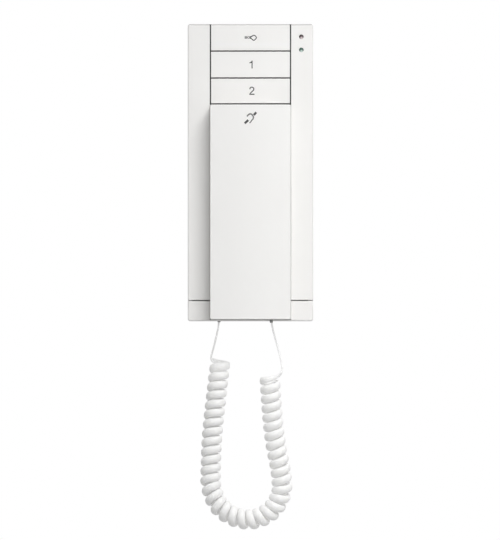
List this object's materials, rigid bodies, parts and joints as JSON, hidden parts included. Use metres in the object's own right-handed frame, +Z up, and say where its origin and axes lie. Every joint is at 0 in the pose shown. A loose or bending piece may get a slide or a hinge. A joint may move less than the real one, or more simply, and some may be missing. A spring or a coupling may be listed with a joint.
{
  "type": "intercom handset station",
  "caption": "White wall-mounted audio handset station with wide keys, indicator lamps, a cradled handset and a curly cord.",
  "frame": {"origin": "middle of the four wall screw holes, on the back face of the wall plate", "axes": "+Y into the wall, so the station faces -Y; +Z up along the housing; +X to the viewer's right"},
  "size_m": [0.086, 0.0465, 0.3475],
  "materials": {
    "white_plastic": "satin moulded white",
    "clear_plastic": "clear light pipe",
    "plate_plastic": "moulded light grey",
    "circuit_board": "green solder mask",
    "dark_plastic": "moulded black",
    "terminal_plastic": "moulded green",
    "rotor_plastic": "moulded cream",
    "bright_steel": "bright zinc",
    "magnet_nickel": "nickel plated",
    "capacitor_sleeve": "printed sleeve, left bare",
    "lamp_chip": "lamp resin",
    "soft_rubber": "black rubber",
    "clear_rubber": "translucent bumper",
    "coil_winding": "enamelled copper",
    "jack_plastic": "moulded black",
    "plug_plastic": "clear plug",
    "cord_jacket": "soft white jacket",
    "lead_jacket": "thin wire jacket"
  },
  "bodies": {
    "housing": {"front_housing": "white_plastic", "bottom_cover": "white_plastic", "wall_plate": "plate_plastic", "lock_screw": "bright_steel", "key_switches": "dark_plastic", "light_pipe_red": "clear_plastic", "light_pipe_green": "clear_plastic", "status_leds": "lamp_chip", "main_board": "circuit_board", "board_screws": "bright_steel", "terminal_block": "terminal_plastic", "terminal_screws": "bright_steel", "address_switches": "dark_plastic", "board_capacitors": "capacitor_sleeve", "board_chips": "dark_plastic", "ringer_speaker": "dark_plastic", "ringer_magnet": "bright_steel", "ringer_leads": "lead_jacket", "hook_spring": "bright_steel", "hook_switch": "dark_plastic", "cradle_magnets": "magnet_nickel", "cradle_bumpers": "clear_rubber", "base_socket": "jack_plastic", "base_plug": "plug_plastic", "socket_leads": "lead_jacket", "cord_lead_base": "cord_jacket", "cord_coil": "cord_jacket"},
    "handset": {"handset_front_shell": "white_plastic", "handset_back_shell": "white_plastic", "handset_screws": "bright_steel", "keeper_plates": "bright_steel", "receiver_gasket": "soft_rubber", "receiver_capsule": "dark_plastic", "hearing_aid_coil": "coil_winding", "receiver_leads": "lead_jacket", "microphone_boot": "soft_rubber", "microphone_capsule": "bright_steel", "microphone_leads": "lead_jacket", "handset_board": "circuit_board", "handset_board_screws": "bright_steel", "handset_socket": "jack_plastic", "handset_plug": "plug_plastic", "cord_lead_handset": "cord_jacket"},
    "hook": {"hook_plunger": "plate_plastic"},
    "door_key": {"key_door": "white_plastic", "switch_stem_door": "dark_plastic"},
    "key_1": {"key_one": "white_plastic", "switch_stem_one": "dark_plastic"},
    "key_2": {"key_two": "white_plastic", "switch_stem_two": "dark_plastic"},
    "left_rotor": {"address_rotor_left": "rotor_plastic"},
    "right_rotor": {"address_rotor_right": "rotor_plastic"}
  },
  "joints": [
    {"name": "door_key_press", "type": "slide", "parent": "housing", "child": "door_key", "axis": [0, 1, 0], "range_m": [0, 0.0008], "stiffness_N_per_m": 1200},
    {"name": "key_1_press", "type": "slide", "parent": "housing", "child": "key_1", "axis": [0, 1, 0], "range_m": [0, 0.0008], "stiffness_N_per_m": 1200},
    {"name": "key_2_press", "type": "slide", "parent": "housing", "child": "key_2", "axis": [0, 1, 0], "range_m": [0, 0.0008], "stiffness_N_per_m": 1200},
    {"name": "handset_lift", "type": "slide", "parent": "housing", "child": "handset", "axis": [0, -1, 0], "range_m": [0, 0.03]},
    {"name": "hook_slide", "type": "slide", "parent": "housing", "child": "hook", "axis": [0, -1, 0], "range_m": [0, 0.003]},
    {"name": "left_rotor_turn", "type": "hinge", "parent": "housing", "child": "left_rotor", "pos_m": [-0.024, -0.011, 0.018], "axis": [0, -1, 0], "continuous": true},
    {"name": "right_rotor_turn", "type": "hinge", "parent": "housing", "child": "right_rotor", "pos_m": [-0.01, -0.011, 0.018], "axis": [0, -1, 0], "continuous": true}
  ],
  "couplings": [
    {"joint": "hook_slide", "follows": "handset_lift", "ratio": 0.1}
  ]
}
